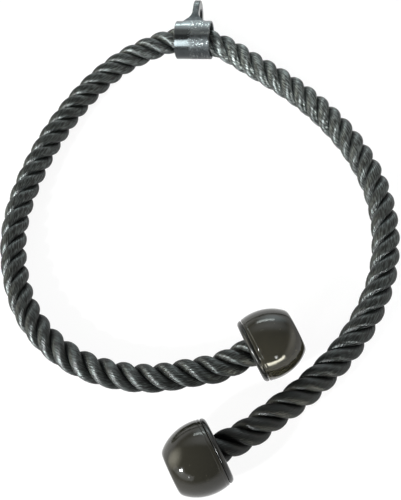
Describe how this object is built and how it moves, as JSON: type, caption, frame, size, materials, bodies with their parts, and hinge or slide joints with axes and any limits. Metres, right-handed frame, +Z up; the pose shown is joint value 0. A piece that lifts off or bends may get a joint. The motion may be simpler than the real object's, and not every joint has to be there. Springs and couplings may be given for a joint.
{
  "type": "triceps rope attachment",
  "caption": "Thick laid rope doubled through a swivel eye sleeve for a cable machine, with a rounded end cap on each end as a hand stop.",
  "frame": {"origin": "on the floor, under the middle of the box round the sleeve, the lug and the two end caps, measured without the rope", "axes": "+Z up; +X along the sleeve's barrel, towards the arm that ends in the right cap; +Y from the caps towards the sleeve and its lug"},
  "size_m": [0.3758, 0.5013, 0.0586],
  "materials": {
    "rope": "laid synthetic fibre with a slight sheen",
    "sleeve_metal": "dark bright plating over a casting",
    "cap_plastic": "glossy moulded",
    "ring_plastic": "moulded, a little duller than the cap",
    "plated_steel": "zinc plated",
    "tape": "wound adhesive tape"
  },
  "bodies": {
    "rope_line": {"rope": "rope", "left_thrust_washer": "plated_steel", "left_crimp_ferrule": "plated_steel", "left_end_whipping": "tape", "right_thrust_washer": "plated_steel", "right_crimp_ferrule": "plated_steel", "right_end_whipping": "tape"},
    "sleeve": {"eye_sleeve": "sleeve_metal"},
    "left_cap": {"left_cap_shell": "cap_plastic", "left_mouth_ring": "ring_plastic"},
    "right_cap": {"right_cap_shell": "cap_plastic", "right_mouth_ring": "ring_plastic"}
  },
  "joints": [
    {"name": "sleeve_swivel", "type": "hinge", "parent": "rope_line", "child": "sleeve", "pos_m": [-0.057, 0.2, 0.0193], "axis": [1, 0, 0], "continuous": true},
    {"name": "left_cap_spin", "type": "hinge", "parent": "rope_line", "child": "left_cap", "pos_m": [0.0412, -0.1242, 0.02933], "axis": [0.8639, 0.4988, 0.0698], "continuous": true},
    {"name": "right_cap_spin", "type": "hinge", "parent": "rope_line", "child": "right_cap", "pos_m": [-0.0032, -0.2199, 0.02933], "axis": [-0.8413, -0.536, 0.0698], "continuous": true}
  ]
}
